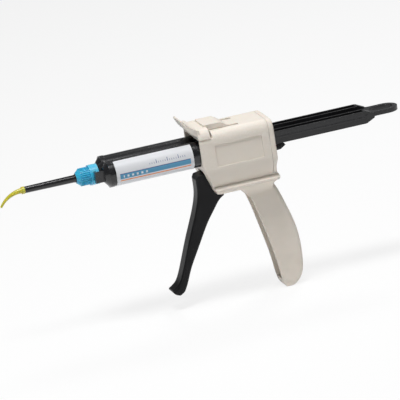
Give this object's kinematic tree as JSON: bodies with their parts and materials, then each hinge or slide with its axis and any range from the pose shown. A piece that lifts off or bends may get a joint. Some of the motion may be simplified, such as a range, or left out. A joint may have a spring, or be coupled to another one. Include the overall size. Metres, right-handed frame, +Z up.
{
  "type": "two-component cartridge dispensing gun",
  "caption": "Hand-held trigger gun with a toothed twin plunger, holding a side-by-side twin cartridge with a mixing tube and a curved intra-oral tip.",
  "frame": {"origin": "on the plunger axis, midway between the barrels, in the front plane of the gun body", "axes": "+X back along the plunger, towards its loop; +Z up, away from the grip; +Y to the side, square to the plane of symmetry"},
  "size_m": [0.3659, 0.048, 0.1673],
  "materials": {
    "body_plastic": "fine matt moulded ABS, warm cream",
    "black_plastic": "satin black nylon",
    "rack_plastic": "semi-gloss black acetal",
    "cartridge_plastic": "semi-gloss black polypropylene",
    "label_film": "white printed film with plain blue, orange and grey bands",
    "blue_plastic": "sky blue polypropylene",
    "yellow_plastic": "translucent yellow",
    "piston_plastic": "natural polyethylene",
    "steel": "plain steel",
    "pawl_steel": "sintered steel"
  },
  "bodies": {
    "frame": {"gun_body": "body_plastic", "rear_cover": "body_plastic", "cover_screws": "steel", "latch_pin": "steel", "trigger_pin": "steel", "trigger_spring": "steel", "release_pin": "steel", "release_spring": "steel", "cartridge_body": "cartridge_plastic", "cartridge_label": "label_film", "mixer_tube": "cartridge_plastic", "mixing_element": "piston_plastic"},
    "latch": {"latch": "body_plastic"},
    "trigger": {"trigger": "black_plastic", "pawl_pin": "steel", "pawl_spring": "steel"},
    "pawl": {"drive_pawl": "pawl_steel"},
    "release": {"release_lever": "black_plastic"},
    "pistons": {"piston_left": "piston_plastic", "piston_right": "piston_plastic"},
    "plunger": {"plunger_rack": "rack_plastic", "pusher_disc_left": "rack_plastic", "pusher_disc_right": "rack_plastic"},
    "collar": {"mixer_collar": "blue_plastic"},
    "tip": {"intraoral_tip": "yellow_plastic"}
  },
  "joints": [
    {"name": "latch_hinge", "type": "hinge", "parent": "frame", "child": "latch", "pos_m": [0.0356, 0, 0.0158], "axis": [0, 1, 0], "range_deg": [0, 70]},
    {"name": "trigger_pivot", "type": "hinge", "parent": "frame", "child": "trigger", "pos_m": [0.016, 0, -0.0233], "axis": [0, -1, 0], "range_deg": [0, 28], "stiffness_Nm_per_rad": 0.6, "springref_deg": -14.32},
    {"name": "pawl_pivot", "type": "hinge", "parent": "trigger", "child": "pawl", "pos_m": [0.024, 0, -0.015], "axis": [0, -1, 0], "range_deg": [0, 7], "stiffness_Nm_per_rad": 0.02, "springref_deg": -11.46},
    {"name": "release_pivot", "type": "hinge", "parent": "frame", "child": "release", "pos_m": [0.042, 0, -0.015], "axis": [0, 1, 0], "range_deg": [0, 7], "stiffness_Nm_per_rad": 0.3, "springref_deg": -11.46, "deforming": ["release_spring"]},
    {"name": "dispense", "type": "slide", "parent": "frame", "child": "pistons", "axis": [-1, 0, 0], "range_m": [0, 0.068]},
    {"name": "plunger_retract", "type": "slide", "parent": "pistons", "child": "plunger", "axis": [1, 0, 0], "range_m": [0, 0.01]},
    {"name": "collar_lock", "type": "hinge", "parent": "frame", "child": "collar", "pos_m": [-0.095, 0, 0], "axis": [1, 0, 0], "range_deg": [0, 90]},
    {"name": "tip_swivel", "type": "hinge", "parent": "frame", "child": "tip", "pos_m": [-0.1555, 0, 0], "axis": [1, 0, 0], "continuous": true}
  ]
}
